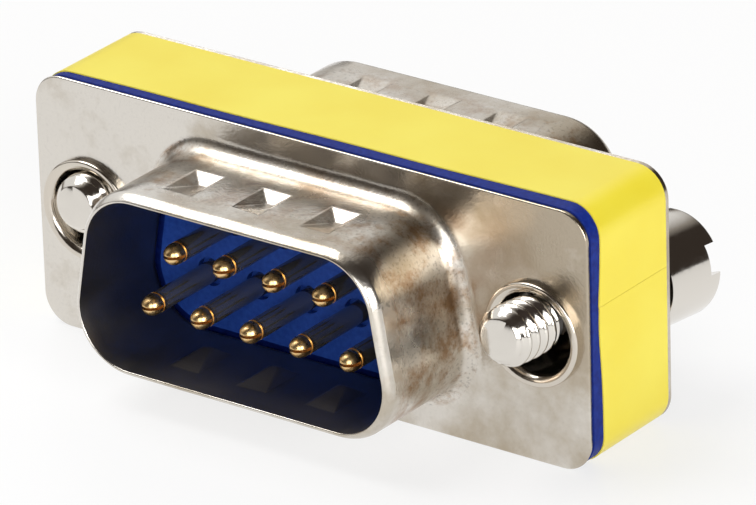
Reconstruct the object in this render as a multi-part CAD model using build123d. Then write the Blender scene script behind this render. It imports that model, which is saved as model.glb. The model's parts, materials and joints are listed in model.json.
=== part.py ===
"""Slim nine-way D-sub gender changer, plug to plug, with two loose jackscrews.

Millimetres. +X is to the right, -Y is the front hood, +Z is up. The origin is on the surface that the
connector stands on, below its centre. The front hood has its narrow side up. The rear half is the same
pressing and the same moulding turned over about the X axis, so each contact is bent over inside the body.
"""
import os
from math import atan, cos, degrees, radians, sin, tan

from build123d import *

# Shell: sheet, hood and flange
sheet = 0.4
hood_width = 16.92            # inside, across the widest part
hood_height = 8.36            # inside
hood_corner_r = 2.6           # inside
hood_slant = 10.0             # degrees, of each side wall
hood_depth = 6.0              # from the flange's outer face to the rim
hood_bend_r = 0.8             # where the hood rises from the flange
rim_flat = 0.04               # what stays flat of the sheet's edge at the rim
rim_break = 0.05              # inner edge of the rim
flange_margin = 0.895         # flat of the flange above and below the hood's bend
flange_end = 0.41             # flat of the flange beyond a bush's head
flange_corner_r = 1.5
flange_edge_round = 0.12

# Pressed dimples on the long sides of a hood
dimple_count = 3
dimple_pitch = 3.8
dimple_length = 2.5           # along the hood
dimple_width = 1.65
dimple_depth = 0.5
dimple_from_flange = 3.2
dimple_punch = 0.2            # share of the dimple's size that its blunt floor has

# Moulded body
body_thickness = 5.6          # between the two flanges
floor_above_flange = 0.05     # how far the floor inside a hood stands in front of the flange
floor_recess = 1.4            # across the recess round each contact in that floor
floor_recess_depth = 0.35
boss_clearance = 0.05         # between the moulded boss and the hood round it

# Contacts
pin_diameter = 1.0
pin_pitch = 2.77
row_gap = 2.84
long_row = 5
short_row = 4
pin_reach = 4.9               # tip to the flange's outer face
pin_bend_r = 0.7
pin_clearance = 0.02
bend_clearance = 0.05
tip_groove_from_end = 0.75
tip_groove_width = 0.1
tip_groove_depth = 0.05
tip_nose = 0.45               # length of the rounded nose
tip_slit = 0.14
tip_slit_depth = 0.7

# Tape round the body, flush with the edges of the flanges
label_thickness = 0.06
label_gap = 0.35              # between the tape and a flange
seam_height = 1.6             # above the connector's axis
seam_gap = 0.05

# Flanged bushes that the jackscrews float in
jack_margin = 0.335           # flat of the flange between the hood's bend and a bush's head
bush_bore = 3.9
bush_wall = 0.3
bush_lip = 0.25               # how far a head stands out from the bush's side
bush_head = 0.35
bush_head_round = 0.12
bush_throat_round = 0.4       # inner edge of the front head
bush_clearance = 0.05
web_thickness = 1.55          # inner web at the rear end of a bush
web_clearance = 0.08          # web to a leaning shank

# Jackscrews: a 4-40 stud in front, a tapped post with a screwdriver slot behind
stud_diameter = 2.84
full_thread = 2.3             # tip of the stud to the end of its full thread
stud_length = 3.3             # tip of the stud to the end of the thread's run-out
stud_out = 2.4                # how far the right stud stands out of its bush
stud_chamfer = 0.45
shank_diameter = 2.3
post_diameter = 5.1
post_length = 3.95
post_edge_round = 0.25
slot_width = 1.4
slot_depth = 0.9
tapped_bore = 2.4
tapped_depth = 3.2

# Rings that keep the screws in their bushes
ring_side_gap = 0.23          # ring to the bush's bore, about one axis
ring_thickness = 0.4
ring_gap_angle = 60.0
ring_play = 0.025             # each side of the ring in its groove
groove_diameter = 1.9
ring_clearance = 0.05         # ring to the groove's floor
ring_room = 2.15              # from the right ring back to the web

# How the loose screws hang: front end up, the stud leaning on the rim of its bush
lean_clearance = 0.05
lean_pivot = 1.0              # behind the middle of the body, where a leaning axis crosses the bush's axis
shoulder_gap = 0.4            # right post's shoulder to its bush
left_setback = 1.6            # the left screw is pushed back by this much
right_slot_angle = 19.0
left_slot_angle = -35.0

# Worked-out sizes and places
half_body = body_thickness / 2
flange_face = half_body + sheet
rim_face = flange_face + hood_depth
rim_round = sheet - rim_break - rim_flat
tip_face = flange_face + pin_reach
row_offset = row_gap / 2
bush_diameter = bush_bore + 2 * bush_wall
bush_head_diameter = bush_diameter + 2 * bush_lip
bush_hole = bush_diameter + 2 * bush_clearance
bush_end = flange_face + bush_head
jack_spacing = hood_width + 2 * (sheet + hood_bend_r + jack_margin) + bush_head_diameter
flange_width = jack_spacing + bush_head_diameter + 2 * flange_end
flange_height = hood_height + 2 * (sheet + hood_bend_r + flange_margin)
axis_height = flange_height / 2
body_width = flange_width - 2 * label_thickness
body_height = flange_height - 2 * label_thickness
body_corner_r = flange_corner_r - label_thickness
label_width = body_thickness - 2 * label_gap
lean = atan((bush_bore / 2 - stud_diameter / 2 - lean_clearance) / (bush_end + lean_pivot))
web_hole = shank_diameter + 2 * ((bush_end - lean_pivot) * tan(lean) + web_clearance)
screw_reach = 2 * bush_end + shoulder_gap + stud_out
ring_diameter = bush_bore - 2 * ring_side_gap
ring_to_shoulder = web_thickness + shoulder_gap + ring_room
jack_places = [(-jack_spacing / 2, 0), (jack_spacing / 2, 0)]
lower_places = [(pin_pitch * ((long_row - 1) / 2 - i), -row_offset) for i in range(long_row)]
upper_places = [(pin_pitch * ((short_row - 1) / 2 - i), row_offset) for i in range(short_row)]
pin_places = lower_places + upper_places


def facing_front(distance):
    """Plane across the connector, looking out to the front, this far in front of its middle."""
    return Plane.XZ.offset(distance)


def d_outline(grow=0.0):
    """The hood's inner outline, narrow side up, grown by a distance."""
    slope = tan(radians(hood_slant))
    radius = hood_corner_r + grow
    half_width = hood_width / 2 + grow
    half_height = hood_height / 2 + grow
    touch_x = half_width - radius + radius * cos(radians(hood_slant))
    touch_z = radius * (1 + sin(radians(hood_slant))) - half_height
    middle = touch_x + touch_z * slope
    wide = middle + half_height * slope
    narrow = middle - half_height * slope
    corners = [(-wide, -half_height), (wide, -half_height), (narrow, half_height), (-narrow, half_height)]
    outline = make_face(Polyline(*corners, close=True))
    return fillet(outline.vertices(), radius)


def slab(outline, start, end):
    """An outline extruded from one distance in front of the middle to another."""
    return extrude(facing_front(start) * outline, amount=end - start)


def edges_at(solid, distance):
    """Edges that lie flat in the plane this far in front of the middle."""
    return solid.edges().filter_by_position(Axis.Y, -distance, -distance)


def dimple(surface_height):
    """One pressed dimple: a blunt four-sided dent that goes down from this height."""
    top = Plane.XY.offset(surface_height) * Rectangle(dimple_width, dimple_length)
    floor_size = (dimple_width * dimple_punch, dimple_length * dimple_punch)
    floor = Plane.XY.offset(surface_height - dimple_depth) * Rectangle(*floor_size)
    return loft([top.face(), floor.face()], ruled=True)


def dimple_places():
    """The row of dimples along one long side of the hood."""
    along_hood = -(flange_face + dimple_from_flange)
    first = -dimple_pitch * (dimple_count - 1) / 2
    return [Pos(first + i * dimple_pitch, along_hood, 0) for i in range(dimple_count)]


def make_shell():
    """Front shell: a flange with a drawn hood, its sheet as thick in the bend as elsewhere."""
    flange = slab(RectangleRounded(flange_width, flange_height, flange_corner_r), half_body, flange_face)
    flange -= [slab(Pos(*place) * Circle(bush_hole / 2), half_body, flange_face) for place in jack_places]
    hood = slab(d_outline(sheet), half_body, rim_face)
    shell = flange + hood
    base_edges = edges_at(shell, flange_face).filter_by(
        lambda edge: abs(edge.center().X) < hood_width / 2 + 2 * sheet and
        abs(edge.center().Z) < hood_height / 2 + 2 * sheet)
    shell = fillet(base_edges, hood_bend_r)
    border = edges_at(shell, flange_face).filter_by(
        lambda edge: abs(edge.center().X) > flange_width / 2 - flange_corner_r or
        abs(edge.center().Z) > flange_height / 2 - flange_corner_r)
    shell = fillet(border, flange_edge_round)
    shell = fillet(edges_at(shell, rim_face), rim_round)
    shell -= slab(d_outline(), half_body, rim_face)
    mouth_edges = edges_at(shell, half_body).filter_by(
        lambda edge: abs(edge.center().X) < hood_width / 2 + sheet and
        abs(edge.center().Z) < hood_height / 2 + sheet)
    shell = fillet(mouth_edges, hood_bend_r + sheet)
    rim_inner = edges_at(shell, rim_face)
    rim_inner = rim_inner.filter_by(lambda edge: abs(edge.center().Z) < hood_height / 2 + rim_break)
    shell = fillet(rim_inner, rim_break)
    outer_half = hood_height / 2 + sheet
    for side in (0, 180):
        turned = Rot(0, side, 0)
        for place in dimple_places():
            shell += turned * place * dimple(outer_half - sheet)
        for place in dimple_places():
            shell -= turned * place * dimple(outer_half)
    return shell


def make_insulator():
    """Front half of the moulded body, with a slot across the parting face for each bent contact."""
    boss_face = flange_face + floor_above_flange
    half = slab(RectangleRounded(body_width, body_height, body_corner_r), 0, half_body)
    half += slab(d_outline(-boss_clearance), half_body, boss_face)
    half -= [slab(Pos(*place) * Circle(bush_hole / 2), 0, half_body) for place in jack_places]
    pin_hole = Circle(pin_diameter / 2 + pin_clearance)
    half -= [slab(Pos(*place) * pin_hole, 0, boss_face) for place in pin_places]
    recess_floor = boss_face - floor_recess_depth
    half -= [slab(Pos(*place) * Circle(floor_recess / 2), recess_floor, boss_face) for place in pin_places]
    slot_size = (pin_diameter + 2 * bend_clearance, row_gap + pin_diameter + 2 * bend_clearance)
    slot_reach = pin_bend_r + bend_clearance
    half -= [slab(Pos(x, 0) * Rectangle(*slot_size), 0, slot_reach) for x, _ in pin_places]
    return half


def make_pin_tip():
    """One contact tip along +Z: shank end, ring groove, round nose and a slit. Its end is at z = 0."""
    radius = pin_diameter / 2
    groove_end = -tip_groove_from_end
    groove_start = groove_end - tip_groove_width
    neck = radius - tip_groove_depth
    start = groove_start - tip_groove_width
    profile = Polyline((0, start), (radius, start), (radius, groove_start), (neck, groove_start),
                       (neck, groove_end), (radius, groove_end), (radius, -tip_nose))
    nose = EllipticalCenterArc((0, -tip_nose), radius, tip_nose, start_angle=0, arc_size=90)
    outline = make_face(Curve() + [profile, nose, Line((0, 0), (0, start))])
    tip = revolve(Plane.XZ * outline, Axis.Z)
    slit = Box(2 * pin_diameter, tip_slit, 2 * tip_slit_depth)
    return tip - slit, -start


def make_pin(place):
    """One contact: a pin in each hood, and the bent middle that takes it from one row to the other."""
    x, row = place
    tip, tip_length = make_pin_tip()
    shank_end = tip_face - tip_length
    route = FilletPolyline((x, -shank_end, row), (x, 0, row), (x, 0, -row), (x, shank_end, -row),
                           radius=pin_bend_r)
    shank = sweep(Plane(origin=route @ 0, z_dir=route % 0) * Circle(pin_diameter / 2), path=route)
    front_tip = Pos(x, -tip_face, row) * Rot(90, 0, 0) * tip
    rear_tip = Pos(x, tip_face, -row) * Rot(-90, 0, 0) * tip
    return shank + front_tip + rear_tip


def make_label():
    """The tape round the body, a closed band but for the seam where its ends meet."""
    half_width = label_width / 2
    outer = RectangleRounded(body_width + 2 * label_thickness, body_height + 2 * label_thickness,
                             body_corner_r + label_thickness)
    band = outer - RectangleRounded(body_width, body_height, body_corner_r)
    seam = Pos(body_width / 2, seam_height) * Rectangle(4 * label_thickness, seam_gap)
    return slab(band - seam, -half_width, half_width)


def make_bush(place):
    """Flanged bush through both shells and the body, with a web near its rear end."""
    bore = bush_bore / 2
    head_r = bush_head_diameter / 2
    web_face = bush_end - web_thickness
    outline = make_face(Polyline(
        (bore, -bush_end), (head_r, -bush_end), (head_r, -flange_face), (bush_diameter / 2, -flange_face),
        (bush_diameter / 2, flange_face), (head_r, flange_face), (head_r, bush_end), (web_hole / 2, bush_end),
        (web_hole / 2, web_face), (bore, web_face), close=True))
    throat = outline.vertices().filter_by(
        lambda corner: corner.Y < -flange_face - bush_head / 2 and corner.X < bush_diameter / 2)
    outline = fillet(throat, bush_throat_round)
    head_corners = outline.vertices().filter_by(
        lambda corner: abs(abs(corner.Y) - bush_end) < bush_head / 2 and
        (corner.Y > 0 or corner.X > head_r - bush_head_round))
    outline = fillet(head_corners, bush_head_round)
    bush = revolve(outline, Axis.Y)
    return Pos(place[0], 0, place[1]) * bush


def screw_place(side):
    """Frame of a leaning screw: its shoulder at the origin, its axis along +Y to the rear."""
    setback = 0 if side > 0 else left_setback
    pivot = Pos(side * jack_spacing / 2, lean_pivot, 0) * Rot(-degrees(lean), 0, 0)
    return pivot * Pos(0, bush_end + shoulder_gap - lean_pivot + setback, 0)


def make_screw(side, slot_angle):
    """Jackscrew: chamfered stud, shank with a ring groove, and a tapped post with a screwdriver slot."""
    tip = -screw_reach
    run_out = tip + full_thread
    stud_end = tip + stud_length
    groove_rear = ring_play - ring_to_shoulder
    groove_front = groove_rear - ring_thickness - 2 * ring_play
    stud_r = stud_diameter / 2
    shank_r = shank_diameter / 2
    groove_r = groove_diameter / 2
    post_r = post_diameter / 2
    outline = make_face(Polyline(
        (0, tip), (stud_r - stud_chamfer, tip), (stud_r, tip + stud_chamfer), (stud_r, run_out),
        (shank_r, stud_end), (shank_r, groove_front), (groove_r, groove_front), (groove_r, groove_rear),
        (shank_r, groove_rear), (shank_r, 0), (post_r, 0), (post_r, post_length), (0, post_length),
        close=True))
    outer_corner = outline.vertices().filter_by(
        lambda corner: corner.Y > post_length / 2 and corner.X > post_r / 2)
    outline = fillet(outer_corner, post_edge_round)
    screw = revolve(outline, Axis.Y)
    bore = Plane.XZ.offset(-post_length) * Circle(tapped_bore / 2)
    screw -= extrude(bore, amount=tapped_depth)
    slot = Pos(0, post_length, 0) * Box(2 * post_diameter, 2 * slot_depth, slot_width)
    screw -= Rot(0, -slot_angle, 0) * slot
    return screw_place(side) * screw


def make_ring(side):
    """Open snap ring in a screw's groove."""
    ring = Circle(ring_diameter / 2) - Circle(groove_diameter / 2 + ring_clearance)
    reach = ring_diameter
    half_gap = radians(ring_gap_angle / 2)
    wedge = make_face(Polyline((0, 0), (reach * sin(half_gap), -reach * cos(half_gap)),
                               (-reach * sin(half_gap), -reach * cos(half_gap)), close=True))
    ring = slab(ring - wedge, ring_to_shoulder, ring_to_shoulder + ring_thickness)
    return screw_place(side) * ring


def main():
    turned_over = Rot(180, 0, 0)
    shell = make_shell()
    insulator = make_insulator()
    nodes = {
        "front_shell": shell,
        "rear_shell": turned_over * shell,
        "front_insulator": insulator,
        "rear_insulator": turned_over * insulator,
        "label_band": make_label(),
        "left_eyelet": make_bush(jack_places[0]),
        "right_eyelet": make_bush(jack_places[1]),
        "left_jackscrew": make_screw(-1, left_slot_angle),
        "right_jackscrew": make_screw(1, right_slot_angle),
        "left_snap_ring": make_ring(-1),
        "right_snap_ring": make_ring(1),
    }
    for number, place in enumerate(pin_places, start=1):
        nodes[f"pin_{number}"] = make_pin(place)
    os.makedirs("parts", exist_ok=True)
    for name, solid in nodes.items():
        export_step(Pos(0, 0, axis_height) * solid, f"parts/{name}.step")


main()
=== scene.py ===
"""Looks of a slim D-sub gender changer.

Nickel-plated shells and jackscrews, blue mouldings, gilt contacts and a yellow tape. Pieces are modelled in
millimetres about the connector's centre, with the front hood towards -Y and +Z up, and are put in their place
in metres when they are finished.
"""
import json
from math import cos, exp, hypot, pi, radians, sin, tan

import bmesh
import bpy
from mathutils import Matrix, Vector


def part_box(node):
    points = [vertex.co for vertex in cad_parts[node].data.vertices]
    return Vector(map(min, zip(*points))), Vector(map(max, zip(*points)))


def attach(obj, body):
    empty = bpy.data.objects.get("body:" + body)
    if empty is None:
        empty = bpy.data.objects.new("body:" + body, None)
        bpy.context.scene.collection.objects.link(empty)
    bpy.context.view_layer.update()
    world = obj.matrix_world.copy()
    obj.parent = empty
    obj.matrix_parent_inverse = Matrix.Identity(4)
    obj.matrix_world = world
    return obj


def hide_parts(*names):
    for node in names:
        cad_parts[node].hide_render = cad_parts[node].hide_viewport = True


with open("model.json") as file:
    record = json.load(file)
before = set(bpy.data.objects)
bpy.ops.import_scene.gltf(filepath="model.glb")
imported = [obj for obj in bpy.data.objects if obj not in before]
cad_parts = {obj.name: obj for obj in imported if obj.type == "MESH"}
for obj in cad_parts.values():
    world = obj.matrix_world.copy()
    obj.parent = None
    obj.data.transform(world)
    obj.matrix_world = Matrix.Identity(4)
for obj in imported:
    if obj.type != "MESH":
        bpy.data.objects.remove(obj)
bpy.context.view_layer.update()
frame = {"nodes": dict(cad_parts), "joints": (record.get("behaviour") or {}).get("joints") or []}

MM = 0.001
TINY = 1e-5
NEAR = 1e-4

# The connector's centre, half way up its flanges
shell_bottom, shell_top = (corner[2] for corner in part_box("front_shell"))
centre = Vector((0, 0, (shell_bottom + shell_top) / 2)) / MM


def box_of(node):
    """Lowest and highest corner of a CAD node in millimetres, from the connector's centre."""
    low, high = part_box(node)
    return (Vector(low) / MM - centre, Vector(high) / MM - centre)


# Sizes read from the frame
shell_low, shell_high = box_of("front_shell")
flange_half_width = shell_high.x
flange_half_height = shell_high.z
half_body = -shell_high.y
rim_face = -shell_low.y
tape_low, tape_high = box_of("label_band")
bush_low, bush_high = box_of("right_eyelet")
jack_x = (bush_low.x + bush_high.x) / 2
bush_head_r = bush_high.z
bush_end = bush_high.y
joints = {joint["name"]: joint for joint in frame["joints"]}

# Shell
sheet = 0.4
hood_half_width = 8.46
hood_half_height = 4.18
hood_corner_r = 2.6
hood_slant = radians(10)
hood_bend_r = 0.8
flange_corner_r = 1.5
flange_edge_round = 0.08
flange_edge_fall = 0.13
flange_hole_room = 0.05
flange_face = half_body + sheet

# Rim of the hood: a small break inside, and outside a blunt round that runs down the wall
rim_break = 0.05
rim_flat = 0.04
rim_blunt = 1.5
rim_run = 0.52

# Dimples: pits whose floor is a small share of their mouth and lies near their flange end
dimple_places = (-3.8, 0.0, 3.8)
dimple_half_width = 0.825
dimple_half_length = 1.25
dimple_from_flange = 3.2
dimple_depth = 0.42
dimple_floor_width = 0.25
dimple_floor_length = 0.06
dimple_end_run = 0.58
dimple_edge = 0.14
inner_dimple_edge = 0.16

# Share of tarnish that the drawing left on the hood
flat_stain = 0.5
dimple_stain = 0.8
corner_stain = 1.0

# Bushes and jackscrews
bush_bore_r = 1.95
bush_side_r = 2.25
bush_head_round = 0.12
bush_throat_round = 0.4
web_hole_r = 1.5
web_thickness = 1.55
thread_pitch = 0.635
thread_stops = 10
thread_fullness = 0.7
stud_r = 1.42
stud_root_r = 1.14
stud_chamfer = 0.45
nose_edge_width = 0.03
nose_edge_drop = 0.012
nose_seam = 0.01
full_thread = 2.3
stud_length = 3.3
screw_reach = 9.9
shank_r = 1.15
groove_r = 0.95
groove_rear = -4.075
groove_width = 0.45
post_r = 2.55
post_length = 3.95
post_edge_round = 0.25
slot_half_width = 0.7
slot_depth = 0.9
tapped_r = 1.2
tapped_depth = 3.2
mouth_chamfer = 0.2
thread_seam = 0.02
shoulder_from_pivot = {"right": 2.95, "left": 4.55}
slot_angle = {"right": radians(19), "left": radians(-35)}

# Contacts
pin_count = 9
lower_row_count = 5
pin_box = {number: box_of(f"pin_{number}") for number in range(1, pin_count + 1)}
tip_face = -pin_box[1][0].y
pin_r = 0.5
pin_row = 1.42
pin_bend_r = 0.7
nose_length = 0.6
tip_groove_near = 0.75
tip_groove_far = 0.85
tip_groove_r = 0.45
tip_slit_half = 0.07
tip_slit_depth = 0.7
gilt_length = 1.05
gilt_fade = 0.15

# Tape: how far its edges lie off their straight course, and how finely it is divided to follow that
tape_thickness = 0.06
tape_corner_r = 1.5
tape_seam_height = 1.6
tape_seam_gap = 0.016
tape_front_drift = 0.25
tape_rear_drift = 0.47
tape_skew = 0.0115
tape_wave = 0.03
tape_wave_rate = 0.55
tape_wave_start = 1.0
tape_side_dip = 0.12
tape_bulge = 0.22
tape_bulge_height = 0.7
tape_bulge_spread = 2.3
tape_seam_step = 0.04
tape_cuts = 40
tape_rows = 8

# Moulding: depth over which the painted shade on its outer faces, a darker navy, gives way to the floor of
# the hood
painted_shade_fade = 0.1

# Studio: the tent's direction, and places and sizes in metres
tent_side = (-0.75, 0.25, 0.61)
lamp_aim = Vector((0, 0, 0.006))
floor_half_size = 6.0
floor_glow = 0.75

# Camera: the photograph's angle, as degrees round and above, and millimetres
camera_azimuth = radians(36.94)
camera_elevation = radians(24.214)
camera_roll = radians(-1.78)
camera_distance = 346.687
camera_lens = 366.6
aim_right = 3.169
aim_up = 0.787


# Colours and nodes

def linear(code):
    """A colour written as an sRGB hex code, as linear red, green, blue and alpha."""
    channels = [int(code[i:i + 2], 16) / 255 for i in (1, 3, 5)]
    return tuple(c / 12.92 if c <= 0.04045 else ((c + 0.055) / 1.055) ** 2.4 for c in channels) + (1.0,)


def add(tree, kind, inputs=None, **settings):
    """Adds a node. Inputs are socket values, or the sockets that feed them."""
    made = tree.nodes.new(kind)
    for name, value in settings.items():
        setattr(made, name, value)
    for name, value in (inputs or {}).items():
        if isinstance(value, bpy.types.NodeSocket):
            tree.links.new(value, made.inputs[name])
        else:
            made.inputs[name].default_value = value
    return made


def new_material(name):
    """A material with an empty tree but for its output, and the piece's own coordinates."""
    material = bpy.data.materials.new(name)
    material.use_nodes = True
    tree = material.node_tree
    tree.nodes.clear()
    output = add(tree, "ShaderNodeOutputMaterial")
    place = add(tree, "ShaderNodeTexCoord").outputs["Object"]
    return material, tree, output.inputs["Surface"], place


def per_metre(size_mm):
    """Noise scale that gives features of this size."""
    return 1 / (size_mm * MM)


def nickel_plate():
    """Bright nickel on pressed steel: a soft mirror with fine grain, and warm tarnish where it was drawn.

    It is lighter towards the left; inside the hoods it is rougher and painted a darker grey, as shade. The
    grain is drawn coarse enough to show.
    """
    material, tree, surface, place = new_material("nickel_plate")
    drawn = add(tree, "ShaderNodeAttribute", attribute_name="drawn").outputs["Fac"]
    inside_shade_and_dull = add(tree, "ShaderNodeAttribute", attribute_name="inside").outputs["Fac"]
    clouds = add(tree, "ShaderNodeTexNoise", {"Vector": place, "Scale": per_metre(5.0), "Detail": 5.0,
                                              "Roughness": 0.62}).outputs["Fac"]
    # Tint lighter towards the left and darker towards the right.
    across = add(tree, "ShaderNodeSeparateXYZ", {"Vector": place}).outputs["X"]
    brighter = add(tree, "ShaderNodeMapRange", {
        "Value": across, "From Min": -flange_half_width * MM, "From Max": flange_half_width * MM,
        "To Min": 0.14, "To Max": -0.11}).outputs["Result"]
    lighter_left = add(tree, "ShaderNodeMath", {0: clouds, 1: brighter}, operation="ADD").outputs["Value"]
    tint = add(tree, "ShaderNodeValToRGB", {"Fac": lighter_left})
    tint.color_ramp.elements[0].position = 0.34
    tint.color_ramp.elements[0].color = linear("#b5a996")
    tint.color_ramp.elements[1].position = 0.62
    tint.color_ramp.elements[1].color = linear("#dbd6ce")
    patches = add(tree, "ShaderNodeTexNoise", {"Vector": place, "Scale": per_metre(1.7), "Detail": 8.0,
                                               "Roughness": 0.7}).outputs["Fac"]
    stain = add(tree, "ShaderNodeMapRange", {"Value": patches, "From Min": 0.46, "From Max": 0.62,
                                             "To Min": 0.0, "To Max": 0.8}).outputs["Result"]
    stained = add(tree, "ShaderNodeMath", {0: stain, 1: drawn}, operation="MULTIPLY").outputs["Value"]
    warm = add(tree, "ShaderNodeMix", {0: stained, 6: tint.outputs["Color"], 7: linear("#957048")},
               data_type="RGBA").outputs[2]
    grain = add(tree, "ShaderNodeTexNoise", {"Vector": place, "Scale": per_metre(0.14), "Detail": 3.0})
    pores = add(tree, "ShaderNodeMapRange", {
        "Value": grain.outputs["Fac"], "From Min": 0.55, "From Max": 0.66,
        "To Min": 0.0, "To Max": 0.3}).outputs["Result"]
    open_grain = add(tree, "ShaderNodeMath", {0: drawn, 1: 0.85, 2: 0.15}, operation="MULTIPLY_ADD")
    pitted = add(tree, "ShaderNodeMath", {0: pores, 1: open_grain.outputs["Value"]},
                 operation="MULTIPLY").outputs["Value"]
    outside = add(tree, "ShaderNodeMix", {0: pitted, 6: warm, 7: linear("#4a4038")},
                  data_type="RGBA").outputs[2]
    # Painted shade: the plate is painted a darker grey inside the hoods.
    colour = add(tree, "ShaderNodeMix", {0: inside_shade_and_dull, 6: outside, 7: linear("#7e7a76")},
                 data_type="RGBA").outputs[2]
    gloss = add(tree, "ShaderNodeMapRange", {"Value": clouds, "From Min": 0.3, "From Max": 0.7,
                                             "To Min": 0.28, "To Max": 0.18}).outputs["Result"]
    dull = add(tree, "ShaderNodeMath", {0: inside_shade_and_dull, 1: 0.20, 2: gloss},
               operation="MULTIPLY_ADD").outputs["Value"]
    rough = add(tree, "ShaderNodeMath", {0: drawn, 1: 0.08, 2: dull},
                operation="MULTIPLY_ADD").outputs["Value"]
    waves = add(tree, "ShaderNodeTexNoise", {"Vector": place, "Scale": per_metre(2.6), "Detail": 1.0})
    ripple = add(tree, "ShaderNodeBump", {"Height": waves.outputs["Fac"], "Strength": 0.22,
                                          "Distance": 0.0004})
    relief = add(tree, "ShaderNodeBump", {"Height": grain.outputs["Fac"], "Strength": 0.16,
                                          "Distance": 0.00005, "Normal": ripple.outputs["Normal"]})
    metal = add(tree, "ShaderNodeBsdfPrincipled", {
        "Base Color": colour, "Metallic": 1.0, "Roughness": rough, "Normal": relief.outputs["Normal"]})
    tree.links.new(metal.outputs["BSDF"], surface)
    return material


def turned_metal(name, code, roughness):
    """Turned metal, plated or bare: near a mirror, with faint tool marks, drawn coarse enough to show."""
    material, tree, surface, place = new_material(name)
    marks = add(tree, "ShaderNodeTexNoise", {"Vector": place, "Scale": per_metre(0.3), "Detail": 3.0})
    gloss = add(tree, "ShaderNodeMapRange", {"Value": marks.outputs["Fac"], "From Min": 0.3, "From Max": 0.7,
                                             "To Min": roughness, "To Max": roughness + 0.08})
    relief = add(tree, "ShaderNodeBump", {"Height": marks.outputs["Fac"], "Strength": 0.06,
                                          "Distance": 0.00005})
    metal = add(tree, "ShaderNodeBsdfPrincipled", {
        "Base Color": linear(code), "Metallic": 1.0, "Roughness": gloss.outputs["Result"],
        "Normal": relief.outputs["Normal"]})
    tree.links.new(metal.outputs["BSDF"], surface)
    return material


def blue_polyester():
    """Glass-filled polyester, moulded: satin royal blue in the hoods; outside them, where it shows between
    the flange and the tape, painted a darker navy as shade.

    The speckle of the glass is drawn coarse enough to show.
    """
    material, tree, surface, place = new_material("blue_polyester")
    speckle = add(tree, "ShaderNodeTexNoise", {"Vector": place, "Scale": per_metre(0.25), "Detail": 4.0})
    floor = add(tree, "ShaderNodeValToRGB", {"Fac": speckle.outputs["Fac"]})
    floor.color_ramp.elements[0].position = 0.3
    floor.color_ramp.elements[0].color = linear("#2549a8")
    floor.color_ramp.elements[1].position = 0.7
    floor.color_ramp.elements[1].color = linear("#315abc")
    # Painted shade: the moulding's outer faces get a darker navy than the floor of the hood.
    navy_painted_shade = add(tree, "ShaderNodeValToRGB", {"Fac": speckle.outputs["Fac"]})
    navy_painted_shade.color_ramp.elements[0].position = 0.3
    navy_painted_shade.color_ramp.elements[0].color = linear("#0f2070")
    navy_painted_shade.color_ramp.elements[1].position = 0.7
    navy_painted_shade.color_ramp.elements[1].color = linear("#163088")
    depth = add(tree, "ShaderNodeSeparateXYZ", {"Vector": place}).outputs["Y"]
    reach = add(tree, "ShaderNodeMath", {0: depth}, operation="ABSOLUTE").outputs["Value"]
    in_hood = add(tree, "ShaderNodeMapRange", {
        "Value": reach, "From Min": half_body * MM,
        "From Max": (half_body + painted_shade_fade) * MM}).outputs["Result"]
    shade = add(tree, "ShaderNodeMix", {0: in_hood, 6: navy_painted_shade.outputs["Color"], 7: floor.outputs["Color"]},
                data_type="RGBA").outputs[2]
    relief = add(tree, "ShaderNodeBump", {"Height": speckle.outputs["Fac"], "Strength": 0.12,
                                          "Distance": 0.00003})
    plastic = add(tree, "ShaderNodeBsdfPrincipled", {
        "Base Color": shade, "Roughness": 0.5, "IOR": 1.5, "Specular IOR Level": 0.14,
        "Normal": relief.outputs["Normal"]})
    tree.links.new(plastic.outputs["BSDF"], surface)
    return material


def gilt_contact():
    """Turned brass, its ends gilt: satin gold at the tips, and dull nickel on the shank behind them."""
    material, tree, surface, place = new_material("gilt_contact")
    depth = add(tree, "ShaderNodeSeparateXYZ", {"Vector": place}).outputs["Y"]
    reach = add(tree, "ShaderNodeMath", {0: depth}, operation="ABSOLUTE").outputs["Value"]
    gilt = add(tree, "ShaderNodeMapRange", {
        "Value": reach, "From Min": (tip_face - gilt_length - gilt_fade) * MM,
        "From Max": (tip_face - gilt_length + gilt_fade) * MM}).outputs["Result"]
    wear = add(tree, "ShaderNodeTexNoise", {"Vector": place, "Scale": per_metre(0.2), "Detail": 3.0})
    gold = add(tree, "ShaderNodeMix", {0: wear.outputs["Fac"], 6: linear("#dfaa62"), 7: linear("#fce4b0")},
               data_type="RGBA").outputs[2]
    colour = add(tree, "ShaderNodeMix", {0: gilt, 6: linear("#a39d92"), 7: gold},
                 data_type="RGBA").outputs[2]
    gloss = add(tree, "ShaderNodeMapRange", {"Value": wear.outputs["Fac"], "From Min": 0.3, "From Max": 0.7,
                                             "To Min": 0.24, "To Max": 0.34})
    satin = add(tree, "ShaderNodeMix", {0: gilt, 2: 0.13, 3: gloss.outputs["Result"]}).outputs[0]
    bare = add(tree, "ShaderNodeMapRange", {"Value": gilt, "To Min": 0.86, "To Max": 1.0}).outputs["Result"]
    metal = add(tree, "ShaderNodeBsdfPrincipled", {
        "Base Color": colour, "Metallic": bare, "Roughness": satin})
    tree.links.new(metal.outputs["BSDF"], surface)
    return material


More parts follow.
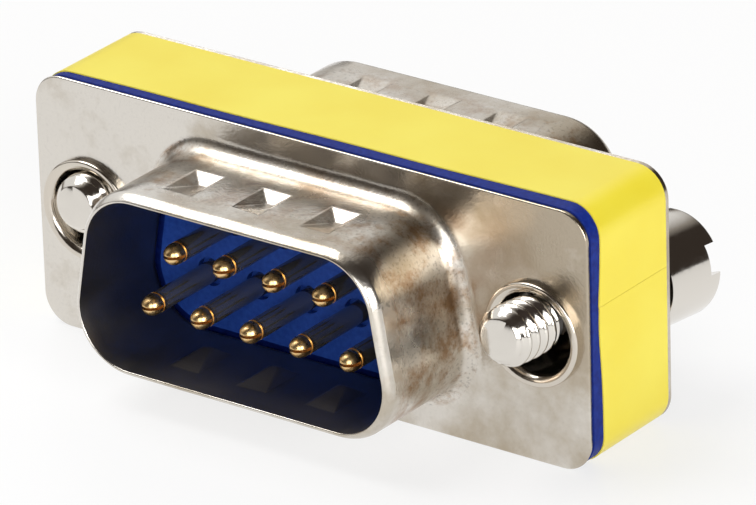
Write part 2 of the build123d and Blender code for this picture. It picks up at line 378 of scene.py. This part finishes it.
def yellow_vinyl():
    """Soft vinyl tape: clear yellow, a low gloss, and slight waves where it is pulled round the body."""
    material, tree, surface, place = new_material("yellow_vinyl")
    mottle = add(tree, "ShaderNodeTexNoise", {"Vector": place, "Scale": per_metre(6.0), "Detail": 3.0})
    shade = add(tree, "ShaderNodeValToRGB", {"Fac": mottle.outputs["Fac"]})
    shade.color_ramp.elements[0].position = 0.35
    shade.color_ramp.elements[0].color = linear("#edda3c")
    shade.color_ramp.elements[1].position = 0.65
    shade.color_ramp.elements[1].color = linear("#f1e24c")
    waves = add(tree, "ShaderNodeTexNoise", {"Vector": place, "Scale": per_metre(1.8), "Detail": 2.0})
    relief = add(tree, "ShaderNodeBump", {"Height": waves.outputs["Fac"], "Strength": 0.10,
                                          "Distance": 0.0002})
    vinyl = add(tree, "ShaderNodeBsdfPrincipled", {
        "Base Color": shade.outputs["Color"], "Roughness": 0.34, "IOR": 1.53,
        "Normal": relief.outputs["Normal"]})
    tree.links.new(vinyl.outputs["BSDF"], surface)
    return material


# Modelling helpers

def arc(middle, radius, start, end, steps):
    """Points of an arc in a section, from one angle to another in degrees, both ends included."""
    angles = [radians(start + (end - start) * i / steps) for i in range(steps + 1)]
    return [(middle[0] + radius * cos(a), middle[1] + radius * sin(a)) for a in angles]


def chain(bm, points):
    """A row of vertices joined by edges."""
    verts = [bm.verts.new(point) for point in points]
    edges = [bm.edges.new(pair) for pair in zip(verts, verts[1:])]
    return verts, edges


def rounded_frame(bm, half_width, half_height, corner_r):
    """The edges of a rectangle with round corners, across the Y axis."""
    plate = bm.faces.new([bm.verts.new((x * half_width, 0, z * half_height))
                          for x, z in ((-1, -1), (1, -1), (1, 1), (-1, 1))])
    bmesh.ops.bevel(bm, geom=plate.verts[:], offset=corner_r, offset_type="OFFSET", segments=12, profile=0.5,
                    affect="VERTICES", material=-1)
    plate = max(bm.faces, key=lambda face: face.calc_area())
    border = plate.edges[:]
    bmesh.ops.delete(bm, geom=[plate], context="FACES_ONLY")
    return border


def lathe(bm, outline, steps=72):
    """Spins an open outline of (radius, along) points about the Y axis."""
    verts, edges = chain(bm, [(r, y, 0) for r, y in outline])
    bmesh.ops.spin(bm, geom=verts + edges, cent=(0, 0, 0), axis=(0, 1, 0), angle=2 * pi, steps=steps,
                   use_merge=True)
    bmesh.ops.remove_doubles(bm, verts=bm.verts, dist=TINY)


def edges_on(bm, along):
    """Edges that lie across the Y axis at this distance along it."""
    return [e for e in bm.edges if all(abs(v.co.y - along) < NEAR for v in e.verts)]


def outward(vert):
    """Direction square to a loop round the Y axis, away from that axis."""
    total = Vector()
    for edge in vert.link_edges:
        run = edge.other_vert(vert).co - vert.co
        normal = Vector((run.z, 0, -run.x)).normalized()
        middle = (edge.verts[0].co + edge.verts[1].co) / 2
        total += normal if normal.dot(middle) > 0 else -normal
    return total.normalized()


def sweep(bm, loop, path):
    """Carries a loop of edges through (grow, depth) stops, depth towards -Y. Gives the loop at each stop."""
    rest = {vert: (vert.co.copy(), outward(vert)) for edge in loop for vert in edge.verts}
    moving = list(rest)
    stops = []
    for grow, depth in path:
        if stops:
            made = bmesh.ops.extrude_edge_only(bm, edges=loop)["geom"]
            moving = [g for g in made if isinstance(g, bmesh.types.BMVert)]
            fresh = set(moving)
            loop = [g for g in made if isinstance(g, bmesh.types.BMEdge) and set(g.verts) <= fresh]
            rest.update({vert: next(rest[edge.other_vert(vert)] for edge in vert.link_edges
                                    if edge.other_vert(vert) not in fresh) for vert in moving})
        for vert in moving:
            place, away = rest[vert]
            vert.co = place + away * grow
            vert.co.y = -depth
        stops.append(loop)
    return stops


def runs_of(edges):
    """Edges sorted into connected runs."""
    left = set(edges)
    runs = []
    while left:
        run = [left.pop()]
        for edge in run:
            near = [e for vert in edge.verts for e in vert.link_edges if e in left]
            run.extend(near)
            left.difference_update(near)
        runs.append(list(dict.fromkeys(run)))
    return runs


def cut_slot(bm, half_width, floor):
    """Saws a slot across the +Y end of a turned piece, down to the floor, and faces its walls and floor."""
    everything = bm.verts[:] + bm.edges[:] + bm.faces[:]
    bmesh.ops.bisect_plane(bm, geom=everything, dist=TINY, plane_co=(0, floor, 0), plane_no=(0, 1, 0))
    for side in (-half_width, half_width):
        everything = bm.verts[:] + bm.edges[:] + bm.faces[:]
        bmesh.ops.bisect_plane(bm, geom=everything, dist=TINY, plane_co=(0, 0, side), plane_no=(0, 0, 1))
    chips = [f for f in bm.faces if f.calc_center_median().y > floor and
             abs(f.calc_center_median().z) < half_width]
    whole = {e for e in bm.edges if e.is_boundary}
    bmesh.ops.delete(bm, geom=chips, context="FACES")
    for side in (-half_width, half_width):
        wall = [e for e in bm.edges if e.is_boundary and e not in whole and
                all(abs(v.co.z - side) < NEAR for v in e.verts)]
        for run in runs_of(wall):
            count = {}
            for edge in run:
                for vert in edge.verts:
                    count[vert] = count.get(vert, 0) + 1
            ends = [vert for vert, uses in count.items() if uses == 1]
            run.append(bm.edges.get(ends) or bm.edges.new(ends))
            bmesh.ops.edgeloop_fill(bm, edges=run)
    ground = [e for e in bm.edges if e.is_boundary and e not in whole]
    for run in runs_of(ground):
        bmesh.ops.edgeloop_fill(bm, edges=run)


def put_in_scene(name, data):
    """A new object in the scene."""
    made = bpy.data.objects.new(name, data)
    bpy.context.scene.collection.objects.link(made)
    return made


def finish(bm, name, material, body, nodes, sharp=40):
    """Puts a modelled piece in its place in metres, with smooth faces, its finish and its body."""
    bmesh.ops.recalc_face_normals(bm, faces=bm.faces)
    bm.transform(Matrix.Scale(MM, 4) @ Matrix.Translation(centre))
    mesh = bpy.data.meshes.new(name)
    bm.to_mesh(mesh)
    bm.free()
    mesh.shade_smooth()
    mesh.set_sharp_from_angle(angle=radians(sharp))
    mesh.materials.append(material)
    piece = put_in_scene(name, mesh)
    even = piece.modifiers.new("even_shading", "WEIGHTED_NORMAL")
    even.keep_sharp = True
    even.weight = 100
    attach(piece, body)
    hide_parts(*nodes)


# Shells

def hood_outline(bm):
    """The hood's inner outline as a closed loop, narrow side up, with stops at the sides of the dimples."""
    stops = sorted({abs(p + side * dimple_half_width) for p in dimple_places for side in (-1, 1)})
    wide_x = hood_half_width - hood_corner_r
    wide_z = hood_corner_r - hood_half_height
    narrow_z = -wide_z
    narrow_x = wide_x - (narrow_z - wide_z) * tan(hood_slant)
    verts, _ = chain(bm, [(x, 0, -hood_half_height) for x in [*stops, wide_x]])
    corner = bmesh.ops.spin(bm, geom=[verts[-1]], cent=(wide_x, 0, wide_z), axis=(0, -1, 0),
                            angle=pi / 2 + hood_slant, steps=20)["geom_last"]
    top = bm.verts.new((narrow_x + hood_corner_r * cos(hood_slant), 0,
                        narrow_z + hood_corner_r * sin(hood_slant)))
    bm.edges.new((corner[0], top))
    corner = bmesh.ops.spin(bm, geom=[top], cent=(narrow_x, 0, narrow_z), axis=(0, -1, 0),
                            angle=pi / 2 - hood_slant, steps=16)["geom_last"]
    verts, _ = chain(bm, [(x, 0, hood_half_height) for x in reversed(stops)])
    bm.edges.new((corner[0], verts[0]))
    bmesh.ops.mirror(bm, geom=bm.verts[:] + bm.edges[:], matrix=Matrix(), merge_dist=TINY, axis="X")
    for height in (-hood_half_height, hood_half_height):
        bm.edges.new([v for v in bm.verts if abs(v.co.z - height) < TINY and abs(v.co.x) < stops[0] + TINY])
    return bm.edges[:]


def draw_hood(bm):
    """Sweeps the hood from the flange's back up its inside, over the rim and down to the flange's front.

    Marks its inside, where the finish paints a darker grey as shade, and how much tarnish each stretch has,
    for the finish. Gives its front and back edges.
    """
    bend = flange_face + hood_bend_r
    pit_ends = [flange_face + dimple_from_flange + side * dimple_half_length for side in (-1, 1)]
    rim_round = sheet - rim_break - rim_flat
    inside = arc((sheet + hood_bend_r, bend), sheet + hood_bend_r, 270, 180, steps=8)
    inside += [(0.0, depth) for depth in pit_ends]
    rim = arc((rim_break, rim_face - rim_break), rim_break, 180, 90, steps=3)
    rim += [(sheet - rim_round + rim_round * cos(radians(a)) ** rim_blunt,
             rim_face - rim_run + rim_run * sin(radians(a)) ** rim_blunt) for a in range(90, -1, -9)]
    outside = [(sheet, depth) for depth in reversed(pit_ends)]
    outside += arc((sheet + hood_bend_r, bend), hood_bend_r, 180, 270, steps=8)
    stops = sweep(bm, hood_outline(bm), inside + rim + outside)
    inside_shade_and_dull = bm.verts.layers.float.new("inside")
    for vert in {v for loop in stops[:len(inside) + 1] for edge in loop for v in edge.verts}:
        vert[inside_shade_and_dull] = 1.0
    drawn = bm.verts.layers.float.new("drawn")
    flat_end = dimple_places[-1] + dimple_half_width + TINY
    for vert in {v for loop in stops[-len(outside):-2] for edge in loop for v in edge.verts}:
        vert[drawn] = flat_stain if abs(vert.co.x) < flat_end else corner_stain
    return stops[-1], stops[0]


def shear_flange(bm):
    """The flange's sheared border, rounded in front and drawn in behind. Gives its front and back edges."""
    border = rounded_frame(bm, flange_half_width - flange_edge_round, flange_half_height - flange_edge_round,
                           flange_corner_r - flange_edge_round)
    path = arc((0.0, flange_face - flange_edge_round), flange_edge_round, 90, 0, steps=4)
    stops = sweep(bm, border, path + [(flange_edge_round - flange_edge_fall, half_body)])
    return stops[0], stops[-1]


def punch_hole(bm, side):
    """The hole for a bush through one side of the flange. Gives its front and back edges."""
    lie_flat = Matrix.Rotation(pi / 2, 4, "X")
    ring = bmesh.ops.create_circle(bm, segments=64, radius=bush_side_r + flange_hole_room,
                                   matrix=Matrix.Translation((side * jack_x, 0, 0)) @ lie_flat)["verts"]
    hole = list({edge for vert in ring for edge in vert.link_edges})
    return sweep(bm, hole, [(0.0, flange_face), (0.0, half_body)])


def press_dimples(bm, level, softness):
    """Presses a pit into each marked face of the long sides: steep next to the flange, a ramp to the rim."""
    to_flange = dimple_half_length * (1 - dimple_floor_length) - dimple_end_run
    drawn = bm.verts.layers.float["drawn"]
    middle = -(flange_face + dimple_from_flange)
    marked = []
    for face in bm.faces:
        spot = face.calc_center_median()
        on_side = abs(abs(spot.z) - level) < NEAR and abs(spot.y - middle) < NEAR
        if on_side and min(abs(spot.x - place) for place in dimple_places) < NEAR:
            marked.append(face)
    pits = bmesh.ops.extrude_discrete_faces(bm, faces=marked)["faces"]
    creases = set()
    for pit in pits:
        spot = pit.calc_center_median()
        inward = -dimple_depth if spot.z > 0 else dimple_depth
        bmesh.ops.scale(bm, vec=(dimple_floor_width, dimple_floor_length, 1),
                        space=Matrix.Translation(-spot), verts=pit.verts)
        bmesh.ops.translate(bm, vec=(0, to_flange, inward), verts=pit.verts)
        for vert in pit.verts:
            vert[drawn] = dimple_stain
        creases.update(edge for rim in pit.edges for face in rim.link_faces for edge in face.edges)
    bmesh.ops.bevel(bm, geom=list(creases), offset=softness, offset_type="OFFSET", segments=4, profile=0.5,
                    affect="EDGES", material=-1, clamp_overlap=True)


def shell_mesh():
    """The front shell: drawn hood with rounded rim and dimples, bent out of a flange with two holes."""
    bm = bmesh.new()
    fronts = []
    backs = []
    for front, back in (draw_hood(bm), shear_flange(bm), punch_hole(bm, -1), punch_hole(bm, 1)):
        fronts += front
        backs += back
    bmesh.ops.triangle_fill(bm, use_beauty=True, edges=fronts, normal=(0, -1, 0))
    bmesh.ops.triangle_fill(bm, use_beauty=True, edges=backs, normal=(0, 1, 0))
    press_dimples(bm, hood_half_height, inner_dimple_edge)
    press_dimples(bm, hood_half_height + sheet, dimple_edge)
    return bm


def make_shells(material):
    """Both shells: the rear one is the same pressing turned over."""
    finish(shell_mesh(), "front_shell_plated", material, "connector", ["front_shell"])
    rear = shell_mesh()
    rear.transform(Matrix.Rotation(pi, 4, "X"))
    finish(rear, "rear_shell_plated", material, "connector", ["rear_shell"])


# Bushes, contacts and tape

def make_bushes(material):
    """Flanged bushes with rolled heads, a round throat in front and a web behind."""
    web = bush_end - web_thickness
    turn = bush_head_round
    throat = bush_throat_round
    outline = [(bush_bore_r, web)]
    outline += arc((bush_bore_r + throat, throat - bush_end), throat, 180, 270, steps=10)
    outline += arc((bush_head_r - turn, turn - bush_end), turn, 270, 360, steps=6)
    outline += [(bush_head_r, -flange_face), (bush_side_r, -flange_face), (bush_side_r, flange_face),
                (bush_head_r, flange_face)]
    outline += arc((bush_head_r - turn, bush_end - turn), turn, 0, 90, steps=6)
    outline += arc((web_hole_r + turn, bush_end - turn), turn, 90, 180, steps=6)
    outline += [(web_hole_r, web), (bush_bore_r, web)]
    for side, name in ((-1, "left"), (1, "right")):
        bm = bmesh.new()
        lathe(bm, outline, steps=96)
        bm.transform(Matrix.Translation((side * jack_x, 0, 0)))
        finish(bm, f"{name}_bush_turned", material, "connector", [f"{name}_eyelet"])


def contact_mesh():
    """A contact from the upper front row to the lower rear one.

    Each end has a slit nose and a ring groove. A double bend between them is the same half, made twice.
    """
    bm = bmesh.new()
    nose = [(pin_r * cos(radians(a)), nose_length * (sin(radians(a)) - 1)) for a in range(90, -1, -10)]
    groove = [(pin_r, -tip_groove_near), (tip_groove_r, -tip_groove_near), (tip_groove_r, -tip_groove_far),
              (pin_r, -tip_groove_far)]
    outline = nose + groove + [(pin_r, pin_bend_r - tip_face)]
    lathe(bm, outline, steps=40)
    cut_slot(bm, tip_slit_half, -tip_slit_depth)
    bm.transform(Matrix.Translation((0, -tip_face, pin_row)) @ Matrix.Rotation(pi, 4, "X"))
    mouth = edges_on(bm, -pin_bend_r)
    bend = bmesh.ops.spin(bm, geom=list({v for e in mouth for v in e.verts}) + mouth,
                          cent=(0, -pin_bend_r, pin_row - pin_bend_r), axis=(-1, 0, 0), angle=pi / 2,
                          steps=10)
    last = [g for g in bend["geom_last"] if isinstance(g, bmesh.types.BMEdge)]
    made = bmesh.ops.extrude_edge_only(bm, edges=last)["geom"]
    for vert in (g for g in made if isinstance(g, bmesh.types.BMVert)):
        vert.co.z = 0
    half = bmesh.ops.duplicate(bm, geom=bm.verts[:] + bm.edges[:] + bm.faces[:])["geom"]
    bmesh.ops.rotate(bm, cent=(0, 0, 0), matrix=Matrix.Rotation(pi, 3, "X"),
                     verts=[g for g in half if isinstance(g, bmesh.types.BMVert)])
    bmesh.ops.remove_doubles(bm, verts=bm.verts, dist=TINY)
    return bm


def make_contacts(material):
    """The contacts, at the places that the frame gives them. Those of the lower front row are turned over."""
    for number, (low, high) in pin_box.items():
        bm = contact_mesh()
        if number <= lower_row_count:
            bm.transform(Matrix.Rotation(pi, 4, "Y"))
        bm.transform(Matrix.Translation(((low.x + high.x) / 2, 0, 0)))
        finish(bm, f"contact_{number}", material, "connector", [f"pin_{number}"])


def tape_drift(x, z):
    """How far the tape's front edge lies behind its straight course: askew, and drawn forward at its seam."""
    drift = tape_front_drift + tape_skew * x + tape_wave * sin(x * tape_wave_rate + tape_wave_start)
    round_corner = min(max((x - tape_high.x) / tape_corner_r + 1, 0.0), 1.0)
    bulge = tape_bulge * exp(-((z - tape_bulge_height) / tape_bulge_spread) ** 2)
    step = tape_seam_step if z < tape_seam_height else 0.0
    return drift - (tape_side_dip + bulge - step) * round_corner


def make_tape(material):
    """The tape, wound once round the body, its ends meeting on the right side."""
    bm = bmesh.new()
    border = rounded_frame(bm, tape_high.x, tape_high.z, tape_corner_r)
    straight = [e for e in border if e.calc_length() > 2 * tape_corner_r]
    bmesh.ops.subdivide_edges(bm, edges=straight, cuts=tape_cuts)
    for height in (tape_seam_height - tape_seam_gap / 2, tape_seam_height + tape_seam_gap / 2):
        everything = bm.verts[:] + bm.edges[:]
        bmesh.ops.bisect_plane(bm, geom=everything, dist=TINY, plane_co=(0, 0, height), plane_no=(0, 0, 1))
    seam = [e for e in bm.edges if abs((e.verts[0].co.z + e.verts[1].co.z) / 2 - tape_seam_height) <
            tape_seam_gap / 2 and e.verts[0].co.x > 0]
    bmesh.ops.delete(bm, geom=seam, context="EDGES_FACES")
    half_width = (tape_high.y - tape_low.y) / 2
    rows = [(0.0, half_width - 2 * half_width * i / tape_rows) for i in range(tape_rows + 1)]
    sweep(bm, bm.edges[:], rows)
    for vert in bm.verts:
        share = (vert.co.y + half_width) / (2 * half_width)
        vert.co.y += tape_drift(vert.co.x, vert.co.z) * (1 - share) + tape_rear_drift * share
    bmesh.ops.recalc_face_normals(bm, faces=bm.faces)
    bmesh.ops.solidify(bm, geom=bm.faces[:], thickness=tape_thickness)
    finish(bm, "tape_wound", material, "connector", ["label_band"])


# Jackscrews

def wind_thread(bm, root, crest, start, end, steps=56):
    """A right-hand thread along +Y: one pitch of its outline carried round and along, its ends cut square."""
    first = start - 2 * thread_pitch
    outline = [(root + (crest - root) * (0.5 - 0.5 * cos(2 * pi * i / thread_stops)) ** thread_fullness,
                first + thread_pitch * i / thread_stops, 0) for i in range(thread_stops + 1)]
    turns = int((end - first) / thread_pitch) + 2
    before = set(bm.verts)
    verts, edges = chain(bm, outline)
    bmesh.ops.spin(bm, geom=verts + edges, cent=(0, 0, 0), axis=(0, 1, 0), angle=2 * pi * turns,
                   dvec=(0, thread_pitch / steps, 0), steps=steps * turns)
    bmesh.ops.remove_doubles(bm, verts=[v for v in bm.verts if v not in before], dist=NEAR)
    for along, clear in ((start, {"clear_inner": True}), (end, {"clear_outer": True})):
        wound = [v for v in bm.verts if v not in before]
        faces = {f for v in wound for f in v.link_faces}
        sides = {e for v in wound for e in v.link_edges}
        bmesh.ops.bisect_plane(bm, geom=wound + list(sides) + list(faces), dist=TINY,
                               plane_co=(0, along, 0), plane_no=(0, 1, 0), **clear)
    return [v for v in bm.verts if v not in before]


def pull_in(verts, limit):
    """Draws vertices in to a radius that depends on their place along the axis."""
    for vert in verts:
        radius = hypot(vert.co.x, vert.co.z)
        most = limit(vert.co.y)
        if radius > most:
            vert.co.x *= most / radius
            vert.co.z *= most / radius


def cut_stud(bm, tip, stud_end):
    """The stud's thread, running out to the shank, and its chamfered nose. Gives the edges at its end."""
    taper = (stud_r - shank_r) / (stud_length - full_thread)
    nose = stud_r - stud_chamfer
    thread_start = tip + stud_root_r - nose
    stud = wind_thread(bm, stud_root_r, stud_r, thread_start, stud_end)
    pull_in(stud, lambda y: min(nose + (y - tip), stud_r,
                                max(shank_r, stud_r - (y - tip - full_thread) * taper)))
    thread_rim = [e for e in edges_on(bm, thread_start) if e.is_boundary]
    lathe(bm, [(0, tip), (nose - nose_edge_width, tip), (nose, tip + nose_edge_drop),
               (stud_root_r - nose_seam, thread_start - nose_seam)])
    bmesh.ops.bridge_loops(bm, edges=thread_rim + edges_on(bm, thread_start - nose_seam))
    return [e for e in edges_on(bm, stud_end) if e.is_boundary]


def tap_post(bm, mouth):
    """The post's tapped hole, with a flat floor. Gives the edges at its mouth."""
    bore_end = post_length - tapped_depth
    wind_thread(bm, tapped_r, stud_r, bore_end, mouth)
    bmesh.ops.edgeloop_fill(bm, edges=edges_on(bm, bore_end))
    return [e for e in edges_on(bm, mouth) if e.is_boundary]


def screw_mesh():
    """A jackscrew along +Y, its shoulder at y = 0: threaded stud, grooved shank, tapped and slotted post."""
    bm = bmesh.new()
    tip = -screw_reach
    stud_end = tip + stud_length
    mouth = post_length - mouth_chamfer
    stud_rim = cut_stud(bm, tip, stud_end)
    bore_rim = tap_post(bm, mouth)
    groove_front = groove_rear - groove_width
    outline = [(shank_r, stud_end + thread_seam), (shank_r, groove_front), (groove_r, groove_front),
               (groove_r, groove_rear), (shank_r, groove_rear), (shank_r, 0), (post_r, 0)]
    outline += arc((post_r - post_edge_round, post_length - post_edge_round), post_edge_round, 0, 90, steps=6)
    outline += [(stud_r + mouth_chamfer, post_length), (stud_r + thread_seam, mouth + thread_seam)]
    lathe(bm, outline, steps=72)
    bmesh.ops.bridge_loops(bm, edges=stud_rim + edges_on(bm, stud_end + thread_seam))
    bmesh.ops.bridge_loops(bm, edges=bore_rim + edges_on(bm, mouth + thread_seam))
    cut_slot(bm, slot_half_width, post_length - slot_depth)
    return bm


def make_screws(material):
    """Both jackscrews, leaning in their bushes along their joints' axis."""
    for name in ("left", "right"):
        joint = joints[f"{name}_turn"]
        axis = Vector(joint["axis"])
        lean = Vector((0, 1, 0)).rotation_difference(axis).to_matrix().to_4x4()
        pivot = Matrix.Translation(Vector(joint["pos_m"]) / MM - centre)
        bm = screw_mesh()
        bm.transform(pivot @ lean @ Matrix.Translation((0, shoulder_from_pivot[name], 0)) @
                     Matrix.Rotation(-slot_angle[name], 4, "Y"))
        finish(bm, f"{name}_jackscrew_threaded", material, f"{name}_screw",
               [f"{name}_jackscrew"], sharp=50)


def coat(names, material):
    """Gives CAD pieces that show as they are their finish."""
    for name in names:
        mesh = frame["nodes"][name].data
        mesh.materials.clear()
        mesh.materials.append(material)


# Studio

def make_floor():
    """A pale floor that stays white for the camera and in reflections, and keeps the shadow."""
    material, tree, surface, _ = new_material("pale_floor")
    rays = add(tree, "ShaderNodeLightPath")
    seen = add(tree, "ShaderNodeMath", {0: rays.outputs["Is Camera Ray"], 1: rays.outputs["Is Glossy Ray"]},
               operation="MAXIMUM")
    share = add(tree, "ShaderNodeMath", {0: seen.outputs["Value"], 1: floor_glow}, operation="MULTIPLY")
    paint = add(tree, "ShaderNodeBsdfPrincipled", {"Base Color": linear("#f4f4f4"), "Roughness": 0.35})
    white = add(tree, "ShaderNodeEmission", {"Color": (1, 1, 1, 1), "Strength": 1.0})
    mixed = add(tree, "ShaderNodeMixShader", {0: share.outputs["Value"], 1: paint.outputs["BSDF"],
                                              2: white.outputs["Emission"]})
    tree.links.new(mixed.outputs["Shader"], surface)
    bm = bmesh.new()
    bmesh.ops.create_grid(bm, x_segments=2, y_segments=2, size=floor_half_size)
    mesh = bpy.data.meshes.new("floor")
    bm.to_mesh(mesh)
    bm.free()
    mesh.materials.append(material)
    put_in_scene("floor", mesh)


def make_world():
    """A light tent over the left of the object, in a dim room for the metal to mirror."""
    world = bpy.data.worlds.new("studio")
    bpy.context.scene.world = world
    world.use_nodes = True
    tree = world.node_tree
    tree.nodes.clear()
    way = add(tree, "ShaderNodeTexCoord").outputs["Generated"]
    toward = add(tree, "ShaderNodeVectorMath", {0: way, 1: Vector(tent_side).normalized()},
                 operation="DOT_PRODUCT").outputs["Value"]
    height = add(tree, "ShaderNodeSeparateXYZ", {"Vector": way}).outputs["Z"]
    above = add(tree, "ShaderNodeMapRange", {"Value": height, "From Min": 0.05, "From Max": 0.28,
                                             "To Min": 0.62, "To Max": 1.0}).outputs["Result"]
    toward = add(tree, "ShaderNodeMath", {0: toward, 1: above}, operation="MULTIPLY").outputs["Value"]
    room = add(tree, "ShaderNodeValToRGB", {"Fac": toward})
    room.color_ramp.elements[0].position = 0.46
    room.color_ramp.elements[0].color = linear("#3a332e")
    room.color_ramp.elements[1].position = 0.76
    room.color_ramp.elements[1].color = linear("#f4f4f4")
    room.color_ramp.elements.new(0.58).color = linear("#958f88")
    light = add(tree, "ShaderNodeBackground", {"Color": room.outputs["Color"], "Strength": 1.0})
    output = add(tree, "ShaderNodeOutputWorld")
    tree.links.new(light.outputs["Background"], output.inputs["Surface"])


def add_softbox(name, place, size, power):
    """A square soft lamp at a place in metres, aimed at the connector."""
    lamp = bpy.data.lights.new(name, "AREA")
    lamp.energy = power
    lamp.size = size
    holder = put_in_scene(name, lamp)
    holder.location = place
    holder.rotation_euler = (lamp_aim - Vector(place)).to_track_quat("-Z", "Y").to_euler()


def make_camera():
    """The photograph's camera."""
    right = Vector((cos(camera_azimuth), sin(camera_azimuth), 0))
    ahead = Vector((-sin(camera_azimuth), cos(camera_azimuth), 0))
    forward = ahead * cos(camera_elevation) - Vector((0, 0, sin(camera_elevation)))
    up = right.cross(forward)
    side = right * cos(camera_roll) + up * sin(camera_roll)
    top = up * cos(camera_roll) - right * sin(camera_roll)
    aim = centre + Vector((0, -flange_face, 0)) + side * aim_right + top * aim_up
    place = (aim - forward * camera_distance) * MM
    camera = bpy.data.cameras.new("camera")
    camera.lens = camera_lens
    camera.sensor_width = 36
    camera.clip_start = 0.01
    holder = put_in_scene("camera", camera)
    turn = Matrix((side, top, -forward)).transposed().to_4x4()
    holder.matrix_world = Matrix.Translation(place) @ turn
    bpy.context.scene.camera = holder


make_shells(nickel_plate())
make_bushes(turned_metal("bush_nickel", "#d3cbbf", roughness=0.12))
make_contacts(gilt_contact())
make_tape(yellow_vinyl())
make_screws(turned_metal("turned_nickel", "#dcd7cf", roughness=0.08))
coat(("front_insulator", "rear_insulator"), blue_polyester())
coat(("left_snap_ring", "right_snap_ring"), turned_metal("spring_steel", "#7d7d80", roughness=0.25))
make_floor()
make_world()
add_softbox("top_softbox", place=(-0.20, -0.035, 0.40), size=0.26, power=1.15)
add_softbox("side_softbox", place=(0.45, -0.14, 0.14), size=0.20, power=1.28)
add_softbox("camera_softbox", place=(0.29, -0.42, 0.18), size=0.30, power=1.1)
make_camera()
bpy.context.scene.view_settings.view_transform = "Standard"
